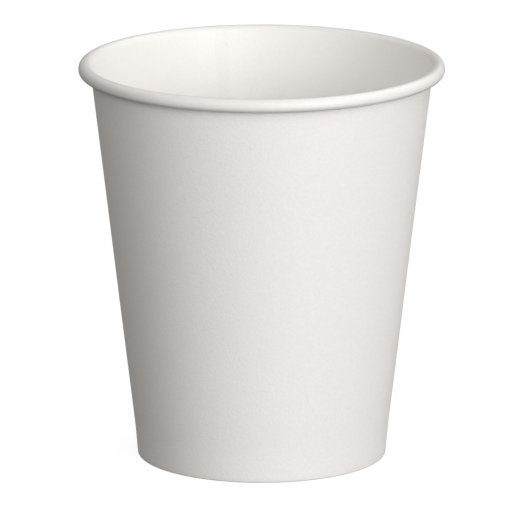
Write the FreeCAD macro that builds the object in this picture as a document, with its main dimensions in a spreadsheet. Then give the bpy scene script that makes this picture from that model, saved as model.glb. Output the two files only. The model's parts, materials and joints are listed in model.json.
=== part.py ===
import FreeCAD, Part
import math
import os
import Sketcher
from FreeCAD import Placement, Rotation, Vector

# A paper cup for hot drinks, made of two pieces of coated board. The wall is one wrapped sheet with a
# lapped side seam, a rolled rim and a foot that is folded inwards and up. The bottom is a disc whose
# turned-down skirt is held in that fold. The origin is the middle of the foot, on the rest plane.

# Driving sizes: alias, value in millimetres or degrees, and what it measures
SIZES = [
    ("rim_diameter", 90.0, "over the rolled rim"),
    ("cup_height", 98.9, "rest plane to the top of the rim"),
    ("foot_diameter", 61.4, "over the foot at the rest plane"),
    ("foot_press", 1.4, "degrees, how much more upright the pressed foot band is than foot to rim"),
    ("foot_band", 6.4, "height of the pressed foot band"),
    ("band_bend", 40.0, "radius of the soft bend above the foot band"),
    ("wall_board", 0.35, "thickness of the wall's board"),
    ("bottom_board", 0.30, "thickness of the bottom's board"),
    ("seal_film", 0.05, "clearance for the film between two plies"),
    ("fold_round", 0.40, "outside radius of the two folds under the foot"),
    ("fold_height", 6.0, "top of the folded-in leg above the rest plane"),
    ("curl_width", 3.25, "width of the rolled rim"),
    ("curl_drop", 0.25, "straight stretch on the outside of the rim"),
    ("curl_gap", 0.10, "air between the rolled edge and the wall"),
    ("curl_end", 175.0, "degrees from straight out, where the rolled edge ends beside the wall"),
    ("seam_start", 106.1, "degrees from +X, cut edge of the inner ply"),
    ("seam_lap", 9.7, "degrees over which the two plies lap"),
    ("seam_ramp", 4.5, "degrees over which the outer ply climbs onto the inner"),
    ("bottom_height", 8.0, "underside of the bottom above the rest plane"),
    ("bottom_bend", 0.6, "outside radius between the bottom and its skirt"),
    ("skirt_gap", 0.3, "clearance between the skirt's edge and the fold"),
]

# Flare of the foot band: the lean of a straight line from foot to rim, less what pressing takes off it
RISE = "Sizes.cup_height"
SPREAD = "(Sizes.rim_diameter / 2 - Sizes.curl_width - Sizes.foot_diameter / 2)"
FOOT_TAPER = f"(atan({SPREAD} / {RISE}) - Sizes.foot_press * 1 deg)"

# Equal chords that the board takes along each of its bends, few enough to keep its facets light
CHORDS = {"fold_in": 2, "fold_out": 2, "bend": 1, "curl": 6, "return": 6, "skirt_bend": 2}

START = 1
END = 2
CENTRE = 3
ORIGIN = -1


def make_sheet(doc):
    """The spreadsheet that holds every driving size under its alias."""
    sheet = doc.addObject("Spreadsheet::Sheet", "Sizes")
    for row, (alias, value, meaning) in enumerate(SIZES, start=1):
        sheet.set(f"A{row}", alias)
        sheet.set(f"B{row}", str(value))
        sheet.set(f"C{row}", meaning)
        sheet.setAlias(f"B{row}", alias)
    doc.recompute()
    return sheet


def meridian_sketch(body, name, angle):
    """A sketch on the body's upright plane, turned about the cup's axis by an angle in degrees."""
    sketch = body.newObject("Sketcher::SketchObject", name)
    plane = next(item for item in body.Origin.OriginFeatures if item.Role == "XZ_Plane")
    sketch.AttachmentSupport = [(plane, "")]
    sketch.MapMode = "FlatFace"
    sketch.AttachmentOffset = Placement(Vector(0, 0, 0), Rotation(Vector(0, 1, 0), 1))
    sketch.setExpression("AttachmentOffset.Rotation.Angle", angle)
    return sketch


def worth(sketch, expression):
    """The number that an expression on the sheet comes to."""
    return float(sketch.evalExpression(expression))


def drive(sketch, name, expression, kind, *where):
    """Add a constraint whose value follows an expression on the sheet."""
    value = worth(sketch, expression)
    if kind == "Angle":
        value = math.radians(value)
    index = sketch.addConstraint(Sketcher.Constraint(kind, *where, value))
    sketch.renameConstraint(index, name)
    sketch.setExpression(f"Constraints.{name}", expression)


def hold(sketch, kind, *where):
    """Add a constraint that has no value."""
    sketch.addConstraint(Sketcher.Constraint(kind, *where))


def on_circle(centre, radius, degrees):
    """The point of a circle at an angle."""
    angle = math.radians(degrees)
    return centre + Vector(radius * math.cos(angle), radius * math.sin(angle), 0)


def tangent_angle(low, low_radius, high, high_radius):
    """Angle at which one line touches two circles on their left side."""
    across = high - low
    lean = math.atan2(across.y, across.x)
    return math.degrees(math.acos((low_radius - high_radius) / across.Length) + lean)


def add_line(sketch, begin, end):
    return sketch.addGeometry(Part.LineSegment(begin, end), False)


def add_bend(sketch, name, centre, radius, low, high):
    """A true arc as a guide line, and the board's face as equal chords along it. Returns the guide."""
    circle = Part.Circle(centre, Vector(0, 0, 1), radius)
    guide = sketch.addGeometry(Part.ArcOfCircle(circle, math.radians(low), math.radians(high)), True)
    count = round(CHORDS[name])
    corners = [on_circle(centre, radius, low + (high - low) * step / count) for step in range(count + 1)]
    chords = [add_line(sketch, *ends) for ends in zip(corners, corners[1:])]
    rules = [
        Sketcher.Constraint("Coincident", chords[0], START, guide, START),
        Sketcher.Constraint("Coincident", chords[-1], END, guide, END),
    ]
    for chord, following in zip(chords, chords[1:]):
        rules.append(Sketcher.Constraint("Coincident", chord, END, following, START))
        rules.append(Sketcher.Constraint("PointOnObject", following, START, guide))
        rules.append(Sketcher.Constraint("Equal", chord, following))
    sketch.addConstraint(rules)
    return guide


class BoardSection:
    """Closed outline of the wall's board in one upright plane, from the leg inside the foot to the curl.

    inset and outset are expressions for the depths of its two faces, measured outwards from the face
    that holds the drink. Half the inset goes off the curl's radius, so that a ply on the outside of
    another has its curl pressed as high and as wide as the plain rim.
    """

    def __init__(self, body, name, angle, inset, outset):
        self.sketch = meridian_sketch(body, name, angle)
        self.depths = {"inner": inset, "outer": outset}
        self.thickness = f"({outset} - {inset})"
        self.curl = f"(Sizes.curl_width / 2 + {inset} / 2)"
        self.curl_x = f"Sizes.rim_diameter / 2 - Sizes.curl_width / 2 + {inset} / 2"
        self.curl_y = f"Sizes.cup_height - Sizes.curl_width / 2 + {inset} / 2"
        self.turn = f"({outset} + Sizes.curl_gap)"
        room = f"(Sizes.bottom_board + 2 * Sizes.seal_film + 2 * {inset})"
        band_shift = f"({inset} - Sizes.wall_board) / cos({FOOT_TAPER})"
        self.crease_x = f"Sizes.foot_diameter / 2 + {band_shift} + {self.thickness} * tan({FOOT_TAPER})"
        self.land = f"{room} / cos({FOOT_TAPER})"
        self.chains = {side: self.draw_face(side) for side in self.depths}
        self.close_ends()
        self.fix_foot()
        self.fix_curl()

    def value(self, expression):
        return worth(self.sketch, expression)

    def draw_face(self, side):
        """One face of the board, joined in its order along the board."""
        chain = self.draw_foot(side)
        chain.update(self.draw_rim(side, self.sketch.getPoint(chain["band"], END)))
        self.join(list(chain.items()))
        return chain

    def draw_foot(self, side):
        """The leg, the land and the foot band. Their creases are sharp inside and rounded outside."""
        taper = self.value(FOOT_TAPER)
        lean = math.tan(math.radians(taper))
        along = Vector(math.sin(math.radians(taper)), math.cos(math.radians(taper)), 0)
        outwards = Vector(along.y, -along.x, 0)
        thickness = self.value(self.thickness)
        crease = Vector(self.value(self.crease_x), thickness, 0)
        leg_crease = crease - Vector(self.value(self.land), 0, 0)
        band_top = crease + along * ((self.value("Sizes.foot_band") - crease.y) / along.y)
        leg_top = leg_crease + along * ((self.value("Sizes.fold_height") - crease.y) / along.y)
        sketch = self.sketch
        if side == "inner":
            return {
                "leg": add_line(sketch, leg_top, leg_crease),
                "land": add_line(sketch, leg_crease, crease),
                "band": add_line(sketch, crease, band_top),
            }
        fold = self.value("Sizes.fold_round")
        reach = thickness - fold
        fold_out = crease + outwards * reach
        fold_out += Vector((fold - fold_out.y) * lean, fold - fold_out.y, 0)
        fold_in = leg_crease - outwards * reach
        fold_in += Vector((fold - fold_in.y) * lean, fold - fold_in.y, 0)
        leg_low = on_circle(fold_in, fold, 180 - taper)
        band_low = on_circle(fold_out, fold, -taper)
        return {
            "leg": add_line(sketch, leg_top - outwards * thickness, leg_low),
            "fold_in": add_bend(sketch, "fold_in", fold_in, fold, 180 - taper, 270),
            "land": add_line(sketch, on_circle(fold_in, fold, 270), on_circle(fold_out, fold, 270)),
            "fold_out": add_bend(sketch, "fold_out", fold_out, fold, 270, 360 - taper),
            "band": add_line(sketch, band_low, band_top + outwards * thickness),
        }

    def draw_rim(self, side, band_top):
        """The soft bend, the wall and the curl, which comes back to the wall after one full turn."""
        depth = self.value(self.depths[side])
        taper = self.value(FOOT_TAPER)
        band_bend = self.value("Sizes.band_bend")
        curl = self.value(self.curl)
        shrink = self.value(self.turn) / 2
        curl_centre = Vector(self.value(self.curl_x), self.value(self.curl_y), 0)
        return_centre = curl_centre + Vector(shrink, -self.value("Sizes.curl_drop"), 0)
        bend_centre = on_circle(band_top, band_bend - depth, -taper)
        wall = tangent_angle(bend_centre, band_bend, curl_centre, curl)
        wall_low = on_circle(bend_centre, band_bend - depth, wall)
        wall_high = on_circle(curl_centre, curl - depth, wall)
        drop_high = on_circle(curl_centre, curl - depth, 0)
        drop_low = on_circle(return_centre, curl - shrink - depth, 0)
        curl_end = self.value("Sizes.curl_end")
        sketch = self.sketch
        return {
            "bend": add_bend(sketch, "bend", bend_centre, band_bend - depth, wall, 180 - taper),
            "wall": add_line(sketch, wall_low, wall_high),
            "curl": add_bend(sketch, "curl", curl_centre, curl - depth, 0, wall),
            "drop": add_line(sketch, drop_high, drop_low),
            "return": add_bend(sketch, "return", return_centre, curl - shrink - depth, curl_end, 360),
        }

    def join(self, items):
        """Neighbours meet end to end, and along their tangent wherever one of them is an arc."""
        arcs = ("fold_in", "fold_out", "bend", "curl", "return")
        clockwise = ("bend", "curl", "return")
        for (name, shape), (next_name, next_shape) in zip(items, items[1:]):
            leaves = START if name in clockwise else END
            enters = END if next_name in clockwise else START
            kind = "Tangent" if name in arcs or next_name in arcs else "Coincident"
            hold(self.sketch, kind, shape, leaves, next_shape, enters)

    def close_ends(self):
        """The two cut edges of the board, square to its faces: inside the foot and inside the curl."""
        sketch = self.sketch
        inner, outer = self.chains["inner"], self.chains["outer"]
        edges = {}
        for name in ("leg", "return"):
            points = [sketch.getPoint(chain[name], START) for chain in (outer, inner)]
            edges[name] = add_line(sketch, *points)
            hold(sketch, "Coincident", edges[name], START, outer[name], START)
            hold(sketch, "Coincident", edges[name], END, inner[name], START)
        hold(sketch, "Perpendicular", edges["leg"], inner["leg"])
        drive(sketch, "leg_edge", self.thickness, "Distance", edges["leg"])
        hold(sketch, "PointOnObject", inner["return"], CENTRE, edges["return"])
        drive(sketch, "curl_end", "Sizes.curl_end", "Angle", edges["return"])

    def fix_foot(self):
        """Place the creases and the land, the foot band above them and the leg beside it."""
        sketch = self.sketch
        inner, outer = self.chains["inner"], self.chains["outer"]
        drive(sketch, "crease_x", self.crease_x, "DistanceX", ORIGIN, START, inner["land"], END)
        drive(sketch, "crease_y", self.thickness, "DistanceY", ORIGIN, START, inner["land"], END)
        drive(sketch, "land", self.land, "DistanceX", inner["land"], START, inner["land"], END)
        hold(sketch, "Horizontal", inner["land"])
        hold(sketch, "Horizontal", outer["land"])
        hold(sketch, "PointOnObject", outer["land"], START, ORIGIN)
        drive(sketch, "band_angle", f"90 deg - {FOOT_TAPER}", "Angle", inner["band"])
        drive(sketch, "band_top", "Sizes.foot_band", "DistanceY", ORIGIN, START, inner["band"], END)
        hold(sketch, "Parallel", outer["band"], inner["band"])
        hold(sketch, "Parallel", inner["leg"], inner["band"])
        hold(sketch, "Parallel", outer["leg"], inner["leg"])
        drive(sketch, "leg_top", "Sizes.fold_height", "DistanceY", ORIGIN, START, inner["leg"], START)
        for name in ("fold_in", "fold_out"):
            drive(sketch, name, "Sizes.fold_round", "Radius", outer[name])

    def fix_curl(self):
        """Place the curl under the rim's top. Both faces turn about the same centres, one board apart."""
        sketch = self.sketch
        inner, outer = self.chains["inner"], self.chains["outer"]
        drive(sketch, "curl_x", self.curl_x, "DistanceX", ORIGIN, START, inner["curl"], CENTRE)
        drive(sketch, "curl_y", self.curl_y, "DistanceY", ORIGIN, START, inner["curl"], CENTRE)
        hold(sketch, "Vertical", inner["drop"])
        drive(sketch, "curl_drop", "Sizes.curl_drop", "DistanceY",
              inner["return"], CENTRE, inner["curl"], CENTRE)
        radii = {
            "bend": "Sizes.band_bend",
            "curl": self.curl,
            "return": f"{self.curl} - {self.turn} / 2",
        }
        for name, radius in radii.items():
            hold(sketch, "Coincident", outer[name], CENTRE, inner[name], CENTRE)
            for side, depth in self.depths.items():
                drive(sketch, f"{name}_{side}", f"{radius} - {depth}", "Radius", self.chains[side][name])


def revolve(body, sketch, name, angle):
    """Turn a section about the cup's axis."""
    ring = body.newObject("PartDesign::Revolution", name)
    ring.Profile = sketch
    ring.ReferenceAxis = (sketch, ["V_Axis"])
    ring.setExpression("Angle", angle)
    return ring


def make_sidewall(doc):
    """The wrapped wall: the plain ply all the way round, its climb onto itself and the lap."""
    body = doc.addObject("PartDesign::Body", "sidewall")
    seam = "Sizes.seam_start"
    one_ply = "Sizes.wall_board"
    two_plies = "(2 * Sizes.wall_board)"
    wrap_start = f"{seam} + Sizes.seam_lap"
    climb_start = f"{seam} - Sizes.seam_ramp"
    wrap = BoardSection(body, "wrap_section", wrap_start, "0", one_ply)
    revolve(body, wrap.sketch, "wrap", "360 - Sizes.seam_lap - Sizes.seam_ramp")
    doc.recompute()

    foot_of_climb = BoardSection(body, "climb_start", climb_start, "0", one_ply)
    head_of_climb = BoardSection(body, "climb_end", seam, one_ply, two_plies)
    climb = body.newObject("PartDesign::AdditiveLoft", "climb")
    climb.Profile = foot_of_climb.sketch
    climb.Sections = [head_of_climb.sketch]
    doc.recompute()

    lap = BoardSection(body, "lap_section", seam, "0", two_plies)
    revolve(body, lap.sketch, "lap", "Sizes.seam_lap")
    doc.recompute()
    return body


def make_cup_bottom(doc):
    """The disc with its skirt turned down, one film inside the foot band."""
    body = doc.addObject("PartDesign::Body", "cup_bottom")
    sketch = meridian_sketch(body, "bottom_section", "0")
    taper = worth(sketch, FOOT_TAPER)
    board = worth(sketch, "Sizes.bottom_board")
    bend = worth(sketch, "Sizes.bottom_bend")
    underside = worth(sketch, "Sizes.bottom_height")
    skirt_y = "(2 * Sizes.wall_board + Sizes.skirt_gap)"
    inwards = f"(Sizes.wall_board + Sizes.seal_film) / cos({FOOT_TAPER})"
    skirt_x = f"Sizes.foot_diameter / 2 - {inwards} + {skirt_y} * tan({FOOT_TAPER})"

    along = Vector(math.sin(math.radians(taper)), math.cos(math.radians(taper)), 0)
    across = Vector(-along.y, along.x, 0)
    skirt_foot = Vector(worth(sketch, skirt_x), worth(sketch, skirt_y), 0)
    bend_y = underside + board - bend
    skirt_head = skirt_foot + along * ((bend_y + bend * across.y * -1 - skirt_foot.y) / along.y)
    centre = skirt_head + across * bend
    top = add_line(sketch, Vector(0, underside + board, 0), on_circle(centre, bend, 90))
    bend_arc = add_bend(sketch, "skirt_bend", centre, bend, -taper, 90)
    skirt_out = add_line(sketch, on_circle(centre, bend, -taper), skirt_foot)
    edge = add_line(sketch, skirt_foot, skirt_foot + across * board)
    corner = skirt_foot + across * board
    corner += along * ((underside - corner.y) / along.y)
    skirt_in = add_line(sketch, skirt_foot + across * board, corner)
    under = add_line(sketch, corner, Vector(0, underside, 0))
    axis = add_line(sketch, Vector(0, underside, 0), Vector(0, underside + board, 0))

    hold(sketch, "Tangent", top, END, bend_arc, END)
    hold(sketch, "Tangent", bend_arc, START, skirt_out, START)
    hold(sketch, "Coincident", skirt_out, END, edge, START)
    hold(sketch, "Coincident", edge, END, skirt_in, START)
    hold(sketch, "Coincident", skirt_in, END, under, START)
    hold(sketch, "Coincident", under, END, axis, START)
    hold(sketch, "Coincident", axis, END, top, START)
    hold(sketch, "PointOnObject", axis, START, -2)
    hold(sketch, "PointOnObject", axis, END, -2)
    hold(sketch, "Horizontal", top)
    hold(sketch, "Horizontal", under)
    hold(sketch, "Perpendicular", edge, skirt_out)
    hold(sketch, "Parallel", skirt_in, skirt_out)
    drive(sketch, "underside", "Sizes.bottom_height", "DistanceY", ORIGIN, START, axis, START)
    drive(sketch, "disc_board", "Sizes.bottom_board", "DistanceY", axis, START, axis, END)
    drive(sketch, "skirt_board", "Sizes.bottom_board", "Distance", edge)
    drive(sketch, "bend", "Sizes.bottom_bend", "Radius", bend_arc)
    drive(sketch, "skirt_angle", f"-90 deg - {FOOT_TAPER}", "Angle", skirt_out)
    drive(sketch, "skirt_x", skirt_x, "DistanceX", ORIGIN, START, skirt_out, END)
    drive(sketch, "skirt_y", skirt_y, "DistanceY", ORIGIN, START, skirt_out, END)
    revolve(body, sketch, "disc", "360")
    doc.recompute()
    return body


def check(doc, bodies):
    """Stop if a feature failed, a section isn't fully constrained or a piece isn't one valid solid."""
    for item in doc.Objects:
        if "Invalid" in item.State or "Error" in item.State:
            raise RuntimeError(f"{item.Name} failed: {item.State}")
        if item.TypeId == "Sketcher::SketchObject" and not item.FullyConstrained:
            raise RuntimeError(f"{item.Name} isn't fully constrained")
    for body in bodies:
        shape = body.Shape
        if shape.isNull() or not shape.isValid() or len(shape.Solids) != 1:
            raise RuntimeError(f"{body.Name} isn't one valid solid")
        print(f"{body.Label}: {shape.Volume / 1000:.3f} cm3, {len(shape.Faces)} faces")


def main():
    doc = FreeCAD.newDocument("PaperCup")
    make_sheet(doc)
    bodies = [make_sidewall(doc), make_cup_bottom(doc)]
    check(doc, bodies)
    os.makedirs("parts", exist_ok=True)
    for body in bodies:
        body.Shape.exportStep(f"parts/{body.Label}.step")


main()
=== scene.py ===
"""A plain white paper cup for hot drinks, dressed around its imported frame.

The wall is one sheet of board that is wrapped a little more than once round the cup's axis, so that it
laps on itself at the side seam. The bottom is a spun disc with a skirt. Both are swept by one Geometry
Nodes tree, which turns a section of the board about the axis.
"""

import json
import logging
import math
from dataclasses import dataclass, field
from enum import Enum

import bpy
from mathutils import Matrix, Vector

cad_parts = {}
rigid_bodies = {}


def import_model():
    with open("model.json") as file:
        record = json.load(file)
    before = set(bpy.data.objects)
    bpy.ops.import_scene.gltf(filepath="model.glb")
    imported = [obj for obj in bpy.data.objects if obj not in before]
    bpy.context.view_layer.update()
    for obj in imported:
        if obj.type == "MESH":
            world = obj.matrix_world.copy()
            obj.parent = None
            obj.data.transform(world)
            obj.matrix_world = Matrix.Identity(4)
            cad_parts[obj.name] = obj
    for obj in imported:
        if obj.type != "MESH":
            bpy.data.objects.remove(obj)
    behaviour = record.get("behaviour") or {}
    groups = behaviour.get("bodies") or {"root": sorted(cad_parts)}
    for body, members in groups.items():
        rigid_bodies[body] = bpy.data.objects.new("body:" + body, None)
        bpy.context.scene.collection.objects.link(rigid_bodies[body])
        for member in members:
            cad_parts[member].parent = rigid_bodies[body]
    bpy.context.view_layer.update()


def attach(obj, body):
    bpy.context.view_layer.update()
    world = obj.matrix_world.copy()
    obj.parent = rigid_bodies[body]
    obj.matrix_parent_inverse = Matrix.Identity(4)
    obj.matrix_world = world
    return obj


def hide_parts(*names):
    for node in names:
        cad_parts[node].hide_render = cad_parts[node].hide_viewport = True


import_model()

MM = 0.001
# Degrees between two faces past which the edge between them is shaded sharp.
SHARP_EDGE = 50.0
LOG = logging.getLogger("paper_cup")

Point = tuple[float, float]
Colour = tuple[float, float, float]


class Ply(Enum):
    """Where a stretch of the wrapped wall lies against its own other end.

    UNDER is inside it and OVER outside it. CREST is OVER where the rolled rim swells, to let the outer
    ply out from behind the inner one.
    """

    PLAIN = "plain"
    UNDER = "under"
    OVER = "over"
    CREST = "crest"


class Sheen(Enum):
    """How a face of the board is finished, as its roughness."""

    FILM = 0.46
    PAPER = 0.62
    RAW = 0.85


def arc(centre: Point, radius: float, start: float, stop: float, steps: int) -> list[Point]:
    """Points along an arc in the section's plane, both ends included.

    Args:
        centre: The arc's centre as distance from the axis and height.
        radius: Its radius.
        start: The angle at which it starts, in degrees.
        stop: The angle at which it ends, in degrees.
        steps: The number of chords.

    Returns:
        One more point than there are chords.
    """
    angles = (math.radians(start + (stop - start) * step / steps) for step in range(steps + 1))
    return [(centre[0] + radius * math.cos(angle), centre[1] + radius * math.sin(angle))
            for angle in angles]


def span(begin: Point, end: Point, steps: int) -> list[Point]:
    """Points inside a straight stretch, without its two ends.

    Args:
        begin: The stretch's first point.
        end: Its last point.
        steps: The number of equal parts.

    Returns:
        One point fewer than there are parts.
    """
    shares = (step / steps for step in range(1, steps))
    return [(begin[0] + (end[0] - begin[0]) * share, begin[1] + (end[1] - begin[1]) * share)
            for share in shares]


def place(obj: bpy.types.Object) -> bpy.types.Object:
    """Put an object into the scene and return it."""
    bpy.context.scene.collection.objects.link(obj)
    return obj


class NodeGraph:
    """A node tree with a short way to add a node, set its values and link its inputs."""

    def __init__(self, tree: bpy.types.NodeTree) -> None:
        """Keep the tree that nodes are added to."""
        self.tree = tree

    def add(self, kind: str, inputs: dict[str | int, object] | None = None,
            **settings: object) -> bpy.types.Node:
        """Add a node.

        Args:
            kind: The node's type.
            inputs: Values or output sockets for its inputs, by socket name or number.
            **settings: The node's own properties.

        Returns:
            The new node.
        """
        node = self.tree.nodes.new(kind)
        for name, value in settings.items():
            setattr(node, name, value)
        for name, value in (inputs or {}).items():
            if isinstance(value, bpy.types.NodeSocket):
                self.tree.links.new(value, node.inputs[name])
            else:
                node.inputs[name].default_value = value
        return node

    def math(self, operation: str, *values: object) -> bpy.types.NodeSocket:
        """Add a math node and return its output."""
        return self.add("ShaderNodeMath", dict(enumerate(values)), operation=operation).outputs[0]

    def vector(self, operation: str, *values: object) -> bpy.types.NodeSocket:
        """Add a vector math node and return its output."""
        return self.add("ShaderNodeVectorMath", dict(enumerate(values)), operation=operation).outputs[0]

    def ramp(self, value: object, low: object, high: object, start: object, stop: object,
             smooth: bool = False) -> bpy.types.NodeSocket:
        """Map a value from one range to another and hold it at both ends.

        Args:
            value: What is mapped.
            low: Where the first range starts.
            high: Where it ends.
            start: The result at low.
            stop: The result at high.
            smooth: Whether the result eases in and out.

        Returns:
            The result's socket.
        """
        interpolation = "SMOOTHSTEP" if smooth else "LINEAR"
        values = {0: value, 1: low, 2: high, 3: start, 4: stop}
        return self.add("ShaderNodeMapRange", values, interpolation_type=interpolation).outputs[0]

    def noise(self, where: bpy.types.NodeSocket, size: bpy.types.NodeSocket, detail: float,
              roughness: float) -> bpy.types.NodeSocket:
        """Noise whose features are about one size.

        Args:
            where: The point at which it is read.
            size: The size of its features, in metres.
            detail: How many finer layers it has.
            roughness: How strong the finer layers are.

        Returns:
            A socket with values from 0 to 1.
        """
        scale = self.math("DIVIDE", 1.0, size)
        values = {"Vector": where, "Scale": scale, "Detail": detail, "Roughness": roughness}
        return self.add("ShaderNodeTexNoise", values).outputs[0]


class WrapTree:
    """The Geometry Nodes tree that turns a section of board about the cup's axis.

    The section is the modifier's own mesh: a row of points in the upright plane. Its attributes "under",
    "over" and "crest" hold how far each point moves where the board lies inside or outside its own other
    end, and at the cut edge where its outer ply comes out from behind the inner one.
    """

    INPUTS = {
        "Start Angle": ("NodeSocketFloat", 0.0),
        "Plain Turn": ("NodeSocketFloat", 2 * math.pi),
        "Climb Turn": ("NodeSocketFloat", 0.0),
        "Lap Turn": ("NodeSocketFloat", 0.0),
        "Crest Turn": ("NodeSocketFloat", 1.0),
        "Plain Steps": ("NodeSocketInt", 360),
        "Climb Steps": ("NodeSocketInt", 0),
        "Lap Steps": ("NodeSocketInt", 0),
        "Wave Height": ("NodeSocketFloat", 0.0),
        "Wave Scale": ("NodeSocketFloat", 1.0),
        "Wave Seed": ("NodeSocketFloat", 0.0),
        "Wave Low": ("NodeSocketFloat", 0.0),
        "Wave High": ("NodeSocketFloat", 1.0),
        "Weld": ("NodeSocketFloat", 0.0),
        "Material": ("NodeSocketMaterial", None),
    }

    def __init__(self) -> None:
        """Build the tree."""
        self.tree = bpy.data.node_groups.new("Wrap board", "GeometryNodeTree")
        self.tree.is_modifier = True
        self.ids: dict[str, str] = {}
        self.tree.interface.new_socket("Section", in_out="INPUT", socket_type="NodeSocketGeometry")
        for name, (kind, default) in self.INPUTS.items():
            socket = self.tree.interface.new_socket(name, in_out="INPUT", socket_type=kind)
            if default is not None:
                socket.default_value = default
            self.ids[name] = socket.identifier
        self.tree.interface.new_socket("Board", in_out="OUTPUT", socket_type="NodeSocketGeometry")
        self.graph = NodeGraph(self.tree)
        self.build()

    def build(self) -> None:
        """Lay a grid of stations by section points, and set each point by the section and its angle."""
        graph = self.graph
        given = graph.add("NodeGroupInput").outputs
        section = given["Section"]
        size = graph.add("GeometryNodeAttributeDomainSize", {0: section}, component="MESH").outputs[0]
        climb_start = given["Plain Steps"]
        lap_start = graph.math("ADD", climb_start, given["Climb Steps"])
        last = graph.math("ADD", lap_start, given["Lap Steps"])
        stations = graph.math("ADD", last, 1.0)
        grid = graph.add("GeometryNodeMeshGrid", {"Vertices X": stations, "Vertices Y": size})
        index = graph.add("GeometryNodeInputIndex").outputs[0]
        # Half a point more keeps the division clear of the whole numbers.
        station = graph.math("FLOOR", graph.math("DIVIDE", graph.math("ADD", index, 0.5), size))
        point = graph.math("SUBTRACT", index, graph.math("MULTIPLY", station, size))

        plain = graph.ramp(station, 0.0, climb_start, 0.0, given["Plain Turn"])
        climbed = graph.ramp(station, climb_start, lap_start, 0.0, 1.0)
        climb = graph.math("MULTIPLY", climbed, given["Climb Turn"])
        lap = graph.ramp(station, lap_start, last, 0.0, given["Lap Turn"])
        turned = graph.math("ADD", plain, graph.math("ADD", climb, lap))
        angle = graph.math("ADD", turned, given["Start Angle"])

        fade_end = graph.math("ADD", given["Lap Turn"], given["Climb Turn"])
        under_share = graph.ramp(turned, given["Lap Turn"], fade_end, 1.0, 0.0, smooth=True)
        behind = graph.ramp(lap, 0.0, given["Crest Turn"], 1.0, 0.0, smooth=True)
        nominal = self.sample(section, graph.add("GeometryNodeInputPosition").outputs[0], point)
        shifted = nominal
        shares = {"under": under_share, "over": climbed, "crest": graph.math("MULTIPLY", climbed, behind)}
        for name, share in shares.items():
            full = self.sample(section, self.named(name), point)
            shift = graph.add("ShaderNodeVectorMath", {0: full, "Scale": share}, operation="SCALE")
            shifted = graph.vector("ADD", shifted, shift.outputs[0])

        around = self.turn(nominal, angle)
        wave = self.wave(given, around, nominal)
        placed = self.turn(graph.vector("ADD", shifted, wave), angle)
        board = grid.outputs[0]
        for kind, values in (
            ("GeometryNodeSetPosition", {"Position": placed}),
            ("GeometryNodeMergeByDistance", {"Distance": given["Weld"]}),
            ("GeometryNodeFlipFaces", {}),
            ("GeometryNodeSetShadeSmooth", {}),
            ("GeometryNodeRealizeInstances", {}),
            ("GeometryNodeSetMaterial", {"Material": given["Material"]}),
        ):
            board = graph.add(kind, {0: board, **values}).outputs[0]
        graph.add("NodeGroupOutput", {0: board})

    def named(self, name: str) -> bpy.types.NodeSocket:
        """Read a vector attribute of the section by its name."""
        node = self.graph.add("GeometryNodeInputNamedAttribute", {"Name": name}, data_type="FLOAT_VECTOR")
        return node.outputs[0]

    def sample(self, section: bpy.types.NodeSocket, value: bpy.types.NodeSocket,
               point: bpy.types.NodeSocket) -> bpy.types.NodeSocket:
        """Read a vector of the section at one of its points.

        Args:
            section: The section's geometry.
            value: The vector that is read.
            point: The point's number.

        Returns:
            The vector's socket.
        """
        given = {"Geometry": section, "Value": value, "Index": point}
        node = self.graph.add("GeometryNodeSampleIndex", given, data_type="FLOAT_VECTOR", domain="POINT")
        return node.outputs[0]

    def turn(self, point: bpy.types.NodeSocket, angle: bpy.types.NodeSocket) -> bpy.types.NodeSocket:
        """Turn a point of the section about the cup's axis."""
        given = {"Vector": point, "Angle": angle}
        return self.graph.add("ShaderNodeVectorRotate", given, rotation_type="Z_AXIS").outputs[0]

    def wave(self, given: bpy.types.NodeOutputs, around: bpy.types.NodeSocket,
             nominal: bpy.types.NodeSocket) -> bpy.types.NodeSocket:
        """The board's slight departure from a true cone, between its foot and its rim.

        Args:
            given: The tree's inputs.
            around: The point's place on the cup, which the noise is read at.
            nominal: The section's own point, whose height fades the wave out.

        Returns:
            The socket of a shift away from the axis.
        """
        graph = self.graph
        values = {"Vector": around, "W": given["Wave Seed"], "Scale": given["Wave Scale"], "Detail": 1.0}
        noise = graph.add("ShaderNodeTexNoise", values, noise_dimensions="4D").outputs[0]
        height = graph.add("ShaderNodeSeparateXYZ", {0: nominal}).outputs["Z"]
        rise = graph.math("SUBTRACT", given["Wave High"], given["Wave Low"])
        share = graph.math("DIVIDE", graph.math("SUBTRACT", height, given["Wave Low"]), rise)
        inside = graph.math("MULTIPLY", share, graph.math("SUBTRACT", 1.0, share))
        # The product is a quarter half way up, so four times that is one.
        fade = graph.math("MULTIPLY", graph.math("MAXIMUM", inside, 0.0), 4.0)
        swing = graph.math("MULTIPLY", graph.math("SUBTRACT", noise, 0.5), given["Wave Height"])
        return graph.add("ShaderNodeCombineXYZ", {"X": graph.math("MULTIPLY", swing, fade)}).outputs[0]

    def sweep(self, name: str, section: "Section", values: dict[str, object]) -> bpy.types.Object:
        """Turn a section into a sheet.

        Args:
            name: The new object's name.
            section: The section's points and shifts.
            values: Values for the tree's inputs, by name.

        Returns:
            An object with a plain mesh of no thickness and no modifier.
        """
        source = place(bpy.data.objects.new(f"{name}_section", section.mesh(f"{name}_section")))
        modifier = source.modifiers.new("Wrap board", "NODES")
        modifier.node_group = self.tree
        for input_name, value in values.items():
            modifier[self.ids[input_name]] = value
        sheet = place(bpy.data.objects.new(name, plain_mesh(source, name)))
        bpy.data.objects.remove(source)
        return sheet


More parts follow.
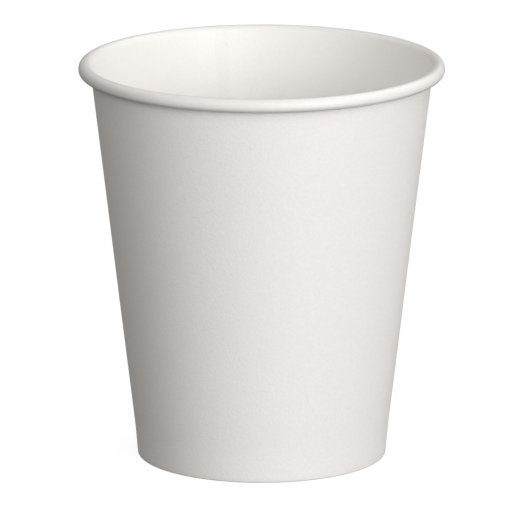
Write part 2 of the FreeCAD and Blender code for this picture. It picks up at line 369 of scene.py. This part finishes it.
def plain_mesh(obj: bpy.types.Object, name: str) -> bpy.types.Mesh:
    """The mesh that an object's modifiers make, as a mesh of its own.

    Args:
        obj: The object with its modifiers.
        name: The new mesh's name.

    Returns:
        The mesh.
    """
    bpy.context.view_layer.update()
    depsgraph = bpy.context.evaluated_depsgraph_get()
    mesh = bpy.data.meshes.new_from_object(obj.evaluated_get(depsgraph))
    mesh.name = name
    return mesh


@dataclass
class Section:
    """A row of points in the upright plane, with its shifts where the board meets its other end."""

    plain: list[Point]
    under: list[Point]
    over: list[Point]
    crest: list[Point]

    def mesh(self, name: str) -> bpy.types.Mesh:
        """The points as a mesh with one vector attribute for each shift.

        Args:
            name: The mesh's name.

        Returns:
            A mesh of points and the edges between them.
        """
        mesh = bpy.data.meshes.new(name)
        links = [(number, number + 1) for number in range(len(self.plain) - 1)]
        mesh.from_pydata([(x, 0.0, z) for x, z in self.plain], links, [])
        moves = {"under": (self.plain, self.under), "over": (self.plain, self.over),
                 "crest": (self.over, self.crest)}
        for label, (origin, target) in moves.items():
            attribute = mesh.attributes.new(label, "FLOAT_VECTOR", "POINT")
            shifts = [(x - x0, 0.0, z - z0) for (x, z), (x0, z0) in zip(target, origin)]
            attribute.data.foreach_set("vector", [value for shift in shifts for value in shift])
        return mesh


@dataclass(frozen=True)
class BoardFinish:
    """The finish of one face of coated board.

    Towards the rolled rim the face keeps only a share of its colour. This is a painted shade that darkens
    the rim and the top of the wall. It sets in at the lower height and is full at the higher one.
    """

    name: str
    sheen: Sheen
    colour: Colour = (0.908, 0.875, 0.851)
    mottle: float = 0.14
    mottle_size: float = 0.8 * MM
    fibre_size: float = 0.6 * MM
    fibre_height: float = 0.06 * MM
    ior: float = 1.45
    coat: float = 0.0
    coat_roughness: float = 0.4
    # Painted shade: the share of the colour kept at the rolled rim, and the heights between which it sets
    # in.
    painted_rim_shade: float = 1.0
    rim_shade_low: float = 84.0 * MM
    rim_shade_high: float = 97.0 * MM

    def material(self, grain_and_shade: bpy.types.NodeTree) -> bpy.types.Material:
        """Make the material.

        Args:
            grain_and_shade: The node group that all faces of board share, with their grain and the
                painted rim shade.

        Returns:
            The material, with its shader in its own tree.
        """
        material = bpy.data.materials.new(self.name)
        material.use_nodes = True
        material.node_tree.nodes.clear()
        graph = NodeGraph(material.node_tree)
        paper = graph.add("ShaderNodeGroup", node_tree=grain_and_shade)
        for name, value in {
            "Mottle Size": self.mottle_size,
            "Mottle": self.mottle,
            "Fibre Size": self.fibre_size,
            "Roughness": self.sheen.value,
            "Rim Shade Low": self.rim_shade_low,
            "Rim Shade High": self.rim_shade_high,
            "Painted Rim Shade": self.painted_rim_shade,
        }.items():
            paper.inputs[name].default_value = value
        where = graph.add("ShaderNodeTexCoord").outputs["Object"]
        graph.tree.links.new(where, paper.inputs["Vector"])
        # A Mix node has its colours A and B at 6 and 7, after those of its other kinds of data.
        colours = {0: 1.0, 6: (*self.colour, 1.0), 7: paper.outputs["Tone And Shade"]}
        # Colour B brings in the mottle and the painted shade towards the rim.
        base = graph.add("ShaderNodeMix", colours, data_type="RGBA", blend_type="MULTIPLY")
        relief = {"Height": paper.outputs["Height"], "Distance": self.fibre_height}
        bump = graph.add("ShaderNodeBump", relief)
        shader = graph.add("ShaderNodeBsdfPrincipled", {
            "Base Color": base.outputs[2],
            "Roughness": paper.outputs["Roughness"],
            "Normal": bump.outputs[0],
            "IOR": self.ior,
            "Coat Weight": self.coat,
            "Coat Roughness": self.coat_roughness,
        })
        graph.add("ShaderNodeOutputMaterial", {"Surface": shader.outputs[0]})
        return material


@dataclass(frozen=True)
class BoardGrainAndShade:
    """The look of paper that all faces of board share: a cloudy tone, a fine felt of fibres and a
    painted shade towards the rolled rim.

    Detail and roughness are those of the noise, and sheen_swing is how far the clouds move the roughness.
    """

    cloud_detail: float = 4.0
    cloud_roughness: float = 0.75
    felt_detail: float = 3.0
    felt_roughness: float = 0.5
    sheen_swing: float = 0.08

    INPUTS = ("Mottle Size", "Mottle", "Fibre Size", "Roughness", "Rim Shade Low", "Rim Shade High", "Painted Rim Shade")
    OUTPUTS = ("Tone And Shade", "Height", "Roughness")

    def group(self) -> bpy.types.NodeTree:
        """Build the shader group.

        Returns:
            A group that puts out a tone with the painted shade towards the rim, a height and a roughness.
        """
        tree = bpy.data.node_groups.new("Board grain and shade", "ShaderNodeTree")
        tree.interface.new_socket("Vector", in_out="INPUT", socket_type="NodeSocketVector")
        for names, side in ((self.INPUTS, "INPUT"), (self.OUTPUTS, "OUTPUT")):
            for name in names:
                tree.interface.new_socket(name, in_out=side, socket_type="NodeSocketFloat")
        graph = NodeGraph(tree)
        given = graph.add("NodeGroupInput").outputs
        where = given["Vector"]
        clouds = graph.noise(where, given["Mottle Size"], self.cloud_detail, self.cloud_roughness)
        cloud = graph.math("SUBTRACT", clouds, 0.5)
        felt = graph.noise(where, given["Fibre Size"], self.felt_detail, self.felt_roughness)
        height = graph.add("ShaderNodeSeparateXYZ", {0: where}).outputs["Z"]
        # Painted shade: the colour darkens to the given share between the two heights, towards the rim.
        rim_shade = graph.ramp(height, given["Rim Shade Low"], given["Rim Shade High"], 1.0, given["Painted Rim Shade"],
                          smooth=True)
        clouded = graph.math("SUBTRACT", 1.0, graph.math("MULTIPLY", given["Mottle"], cloud))
        tone_and_shade = graph.math("MULTIPLY", clouded, rim_shade)
        swing = graph.math("MULTIPLY", cloud, self.sheen_swing)
        rough = graph.math("ADD", given["Roughness"], swing)
        graph.add("NodeGroupOutput", {"Tone And Shade": tone_and_shade, "Height": felt, "Roughness": rough})
        return tree


@dataclass
class Board:
    """Sizes that the two pieces of board share, in metres and degrees."""

    rim_radius: float = 45.0 * MM
    cup_height: float = 98.9 * MM
    foot_radius: float = 30.7 * MM
    foot_press: float = 1.4
    wall_board: float = 0.35 * MM
    bottom_board: float = 0.30 * MM
    seal_film: float = 0.05 * MM
    curl_width: float = 3.25 * MM
    crease: float = 0.05 * MM

    @property
    def foot_taper(self) -> float:
        """The flare of the pressed foot band, in degrees."""
        spread = self.rim_radius - self.curl_width - self.foot_radius
        return math.degrees(math.atan(spread / self.cup_height)) - self.foot_press

    def band_face(self, height: float, depth: float) -> float:
        """Distance from the axis of the foot band, at a height.

        Args:
            height: Height above the rest plane.
            depth: Depth in the wall, from the face that holds the drink.

        Returns:
            The distance from the axis.
        """
        taper = math.radians(self.foot_taper)
        return self.foot_radius + (depth - self.wall_board) / math.cos(taper) + height * math.tan(taper)


@dataclass
class BoardPiece:
    """A piece of board: the sizes that it shares with the other one, and the finish of each face."""

    board: Board
    inside: bpy.types.Material
    outside: bpy.types.Material
    edge: bpy.types.Material

    def thicken(self, sheet: bpy.types.Object, thickness: float) -> bpy.types.Object:
        """Give a sheet its thickness, away from the drink, and dress its faces.

        Args:
            sheet: The sheet, whose normals point at the drink.
            thickness: The board's thickness.

        Returns:
            The same object with a closed mesh.
        """
        sheet_faces = len(sheet.data.polygons)
        solid = sheet.modifiers.new("Thickness", "SOLIDIFY")
        solid.thickness = thickness
        solid.offset = -1.0
        solid.use_even_offset = True
        mesh = plain_mesh(sheet, sheet.name)
        sheet.modifiers.remove(solid)
        sheet.data = mesh
        finishes = (self.inside, self.outside, self.edge)
        mesh.materials.clear()
        for finish in finishes:
            mesh.materials.append(finish)
        # Solidify lists the sheet's own faces first, then as many of the other side, then the edges.
        for number, face in enumerate(mesh.polygons):
            face.material_index = min(number // sheet_faces, len(finishes) - 1)
        mesh.set_sharp_from_angle(angle=math.radians(SHARP_EDGE))
        return sheet


@dataclass
class Sidewall(BoardPiece):
    """The wrapped wall with its rolled rim, its lapped seam and its folded foot.

    Angles are in degrees. steps is the number of chords of each stretch: along the section from the leg
    to the curl's return, and round the axis over the plain turn, the climb and the lap.
    """

    foot_band: float = 6.4 * MM
    band_bend: float = 40.0 * MM
    fold_height: float = 6.0 * MM
    curl_drop: float = 0.25 * MM
    curl_gap: float = 0.10 * MM
    curl_end: float = 175.0
    seam_start: float = 106.1
    seam_lap: float = 9.7
    seam_ramp: float = 4.5
    crest_turn: float = 1.5
    wave_height: float = 0.16 * MM
    wave_scale: float = 22.0
    wave_seed: float = 3.0
    steps: dict[str, int] = field(default_factory=lambda: {
        "leg": 5, "crease": 5, "band": 6, "bend": 4, "wall": 26, "curl": 24, "return": 24,
        "plain turn": 356, "climb": 9, "lap": 20})

    def line(self, ply: Ply) -> list[Point]:
        """The face that holds the drink, from the top of the leg inside the foot to the end of the curl.

        Args:
            ply: How the board lies against its other end there.

        Returns:
            As many points for each kind of ply.
        """
        board, steps = self.board, self.steps
        lapped = ply is not Ply.PLAIN
        depth = board.wall_board if ply in (Ply.OVER, Ply.CREST) else 0.0
        swell = board.wall_board / 2 if ply is Ply.CREST else 0.0
        inset = board.wall_board * (2 if lapped else 1) + self.curl_gap
        land = board.wall_board * (2 if ply is Ply.UNDER else 1)
        taper = board.foot_taper
        cosine = math.cos(math.radians(taper))
        room = (board.bottom_board + 2 * board.seal_film + 2 * depth) / cosine
        crease = board.crease + depth

        crease_height = land + crease
        crease_out = (board.band_face(crease_height, depth) - crease / cosine, crease_height)
        crease_in = (board.band_face(crease_height, depth) - room + crease / cosine, crease_height)
        leg_top = (board.band_face(self.fold_height, depth) - room, self.fold_height)
        band_top = (board.band_face(self.foot_band, depth), self.foot_band)
        fold_in = arc(crease_in, crease, 180 - taper, 270, steps["crease"])
        fold_out = arc(crease_out, crease, 270, 360 - taper, steps["crease"])

        bend = self.band_bend - depth
        lean = math.radians(taper)
        bend_centre = (band_top[0] + bend * math.cos(lean), band_top[1] - bend * math.sin(lean))
        radius = board.curl_width / 2
        curl_centre = (board.rim_radius - radius + swell, board.cup_height - radius + swell)
        curl = radius + swell - depth
        wall = self.wall_angle(bend_centre, bend, curl_centre, curl)
        bend_arc = arc(bend_centre, bend, 180 - taper, wall, steps["bend"])
        curl_arc = arc(curl_centre, curl, wall, 0, steps["curl"])
        return_centre = (curl_centre[0] + inset / 2, curl_centre[1] - self.curl_drop)
        return_arc = arc(return_centre, curl - inset / 2, 0, self.curl_end - 360, steps["return"])
        return [
            leg_top,
            *span(leg_top, fold_in[0], steps["leg"]),
            *fold_in,
            *fold_out,
            *span(fold_out[-1], bend_arc[0], steps["band"]),
            *bend_arc,
            *span(bend_arc[-1], curl_arc[0], steps["wall"]),
            *curl_arc,
            *return_arc,
        ]

    def wall_angle(self, low: Point, low_radius: float, high: Point, high_radius: float) -> float:
        """Angle at which the wall touches the bend below it and the curl above it.

        Args:
            low: The bend's centre.
            low_radius: The bend's radius.
            high: The curl's centre.
            high_radius: The curl's radius.

        Returns:
            The angle in degrees, seen from both centres.
        """
        reach = math.hypot(high[0] - low[0], high[1] - low[1])
        lean = math.atan2(high[1] - low[1], high[0] - low[0])
        return math.degrees(math.acos((low_radius - high_radius) / reach) + lean)

    def build(self, tree: WrapTree) -> bpy.types.Object:
        """Wrap the sheet and give it its thickness.

        Args:
            tree: The tree that turns the section.

        Returns:
            The finished piece.
        """
        section = Section(**{ply.value: self.line(ply) for ply in Ply})
        sheet = tree.sweep("cup_wall", section, {
            "Start Angle": math.radians(self.seam_start),
            "Plain Turn": math.radians(360 - self.seam_ramp),
            "Climb Turn": math.radians(self.seam_ramp),
            "Lap Turn": math.radians(self.seam_lap),
            "Crest Turn": math.radians(self.crest_turn),
            "Plain Steps": self.steps["plain turn"],
            "Climb Steps": self.steps["climb"],
            "Lap Steps": self.steps["lap"],
            "Wave Height": self.wave_height,
            "Wave Scale": self.wave_scale,
            "Wave Seed": self.wave_seed,
            "Wave Low": self.foot_band,
            "Wave High": self.board.cup_height - self.board.curl_width,
            "Material": self.inside,
        })
        return self.thicken(sheet, self.board.wall_board)


@dataclass
class CupBottom(BoardPiece):
    """The raised disc with its skirt turned down between the wall and the leg.

    steps is the number of chords across the disc, over its bend, down its skirt and round the axis. The
    points that meet on the axis are welded.
    """

    height: float = 8.0 * MM
    bend: float = 0.6 * MM
    skirt_gap: float = 0.3 * MM
    weld: float = 0.001 * MM
    steps: dict[str, int] = field(default_factory=lambda: {
        "disc": 22, "bend": 7, "skirt": 6, "turn": 240})

    def line(self) -> list[Point]:
        """The upper face from the axis to the bend, and the skirt's outer face down to its edge.

        Returns:
            The points of the face, from the axis.
        """
        board = self.board
        taper = board.foot_taper
        shift = board.seal_film / math.cos(math.radians(taper))
        top = self.height + board.bottom_board
        skirt_foot = 2 * board.wall_board + self.skirt_gap
        bend_height = top - self.bend
        inwards = self.bend / math.cos(math.radians(taper))
        centre = (board.band_face(bend_height, 0.0) - shift - inwards, bend_height)
        bend = arc(centre, self.bend, 90, -taper, self.steps["bend"])
        foot = (board.band_face(skirt_foot, 0.0) - shift, skirt_foot)
        middle = (0.0, top)
        disc = span(middle, bend[0], self.steps["disc"])
        skirt = span(bend[-1], foot, self.steps["skirt"])
        return [middle, *disc, *bend, *skirt, foot]

    def build(self, tree: WrapTree) -> bpy.types.Object:
        """Spin the disc and give it its thickness.

        Args:
            tree: The tree that turns the section.

        Returns:
            The finished piece.
        """
        line = self.line()
        disc = tree.sweep("bottom_disc", Section(line, line, line, line), {
            "Plain Turn": 2 * math.pi,
            "Plain Steps": self.steps["turn"],
            "Weld": self.weld,
            "Material": self.inside,
        })
        return self.thicken(disc, self.board.bottom_board)


@dataclass(frozen=True)
class Lamp:
    """A soft box.

    azimuth is in degrees to the right of the camera, seen from the cup, elevation in degrees above the
    floor, power in watts, and width and height in metres.
    """

    name: str
    azimuth: float
    elevation: float
    power: float
    width: float = 1.1
    height: float = 1.1


@dataclass(frozen=True)
class Studio:
    """The floor, the soft lights and the camera.

    Sizes are in metres and angles in degrees, but lens and sensor are in millimetres, as cameras have
    them. sight is how far the camera sees.
    """

    elevation: float = 13.62
    distance: float = 2.0
    lens: float = 561.0
    sensor: float = 36.0
    sight: float = 50.0
    aim: tuple[float, float, float] = (-0.43 * MM, 0.0, 48.7 * MM)
    floor_radius: float = 4.0
    floor_corners: int = 48
    floor_gap: float = 0.02 * MM
    floor_colour: Colour = (0.24, 0.24, 0.24)
    floor_roughness: float = 0.9
    floor_glow: float = 0.87
    glow_colour: Colour = (1.0, 1.0, 1.0)
    sky: float = 0.07
    sky_colour: Colour = (1.0, 0.95, 0.91)
    lamp_distance: float = 1.6
    lamps: tuple[Lamp, ...] = (
        Lamp("key_low", 30.0, 11.3, 14.2, height=0.74),
        Lamp("key_high", 30.0, 25.0, 7.4),
        Lamp("side_right", 68.0, 25.0, 4.8),
        Lamp("fill", -45.0, 25.0, 7.5),
        Lamp("back_left", -135.0, 45.0, 5.5),
        Lamp("back_right", 135.0, 45.0, 9.0),
    )

    def floor(self) -> bpy.types.Object:
        """Lay a plain pale floor just under the foot.

        Returns:
            The floor, which the cup neither reflects nor is lit by.
        """
        corners = self.floor_corners
        points = [(self.floor_radius * math.cos(2 * math.pi * step / corners),
                   self.floor_radius * math.sin(2 * math.pi * step / corners),
                   -self.floor_gap) for step in range(corners)]
        mesh = bpy.data.meshes.new("floor")
        mesh.from_pydata(points, [], [tuple(range(corners))])
        floor = place(bpy.data.objects.new("floor", mesh))
        material = bpy.data.materials.new("Pale floor")
        material.use_nodes = True
        shader = material.node_tree.nodes["Principled BSDF"]
        for name, value in {
            "Base Color": (*self.floor_colour, 1.0),
            "Roughness": self.floor_roughness,
            "Specular IOR Level": 0.0,
            "Emission Color": (*self.glow_colour, 1.0),
            "Emission Strength": self.floor_glow,
        }.items():
            shader.inputs[name].default_value = value
        mesh.materials.append(material)
        floor.visible_diffuse = False
        floor.visible_glossy = False
        return floor

    def camera(self) -> bpy.types.Object:
        """Set up the camera at the photograph's angle.

        Returns:
            The scene's camera.
        """
        data = bpy.data.cameras.new("camera")
        data.lens = self.lens
        data.sensor_width = self.sensor
        data.clip_end = self.sight
        camera = place(bpy.data.objects.new("camera", data))
        rise = math.radians(self.elevation)
        back = Vector((0.0, -math.cos(rise), math.sin(rise)))
        camera.location = Vector(self.aim) + back * self.distance
        camera.rotation_euler = back.to_track_quat("Z", "Y").to_euler()
        bpy.context.scene.camera = camera
        return camera

    def lamp(self, lamp: Lamp) -> bpy.types.Object:
        """Hang a soft light so that it faces the cup.

        Args:
            lamp: Its place and power.

        Returns:
            The light.
        """
        data = bpy.data.lights.new(lamp.name, "AREA")
        data.shape = "RECTANGLE"
        data.size = lamp.width
        data.size_y = lamp.height
        data.energy = lamp.power
        light = place(bpy.data.objects.new(lamp.name, data))
        turn, rise = math.radians(lamp.azimuth), math.radians(lamp.elevation)
        level = math.cos(rise)
        away = Vector((math.sin(turn) * level, -math.cos(turn) * level, math.sin(rise)))
        light.location = Vector(self.aim) + away * self.lamp_distance
        light.rotation_euler = away.to_track_quat("Z", "Y").to_euler()
        return light

    def light(self) -> None:
        """Hang the lamps, and set an even sky."""
        for lamp in self.lamps:
            self.lamp(lamp)
        world = bpy.data.worlds.new("sky")
        world.use_nodes = True
        sky = world.node_tree.nodes["Background"]
        sky.inputs["Color"].default_value = (*self.sky_colour, 1.0)
        sky.inputs["Strength"].default_value = self.sky
        bpy.context.scene.world = world
        bpy.context.scene.view_settings.view_transform = "Standard"


def main() -> None:
    """Build the cup, set it in the studio and put each piece in place of its node in the frame."""
    logging.basicConfig(level=logging.INFO, format="%(name)s: %(message)s")
    grain_and_shade = BoardGrainAndShade().group()
    # A painted shade darkens the coated face towards the rolled rim.
    coated_and_rim_shaded = BoardFinish("Coated face, rim shaded", Sheen.FILM, colour=(0.938, 0.917, 0.893), mottle=0.07,
                         coat=0.15, painted_rim_shade=0.92).material(grain_and_shade)
    paper = BoardFinish("Outer face", Sheen.PAPER).material(grain_and_shade)
    raw = BoardFinish("Cut edge", Sheen.RAW, colour=(0.83, 0.79, 0.74), mottle=0.06,
                      mottle_size=0.12 * MM).material(grain_and_shade)
    tree = WrapTree()
    board = Board()
    pieces = (
        (Sidewall(board, coated_and_rim_shaded, paper, raw), "sidewall", "wall_paper"),
        (CupBottom(board, coated_and_rim_shaded, paper, raw), "cup_bottom", "bottom_paper"),
    )
    for part, node, slot in pieces:
        piece = part.build(tree)
        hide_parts(node)
        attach(piece, "root")
        LOG.info("%s: %d faces in place of %s", piece.name, len(piece.data.polygons), node)
    studio = Studio()
    studio.floor()
    studio.camera()
    studio.light()


if __name__ == "__main__":
    main()
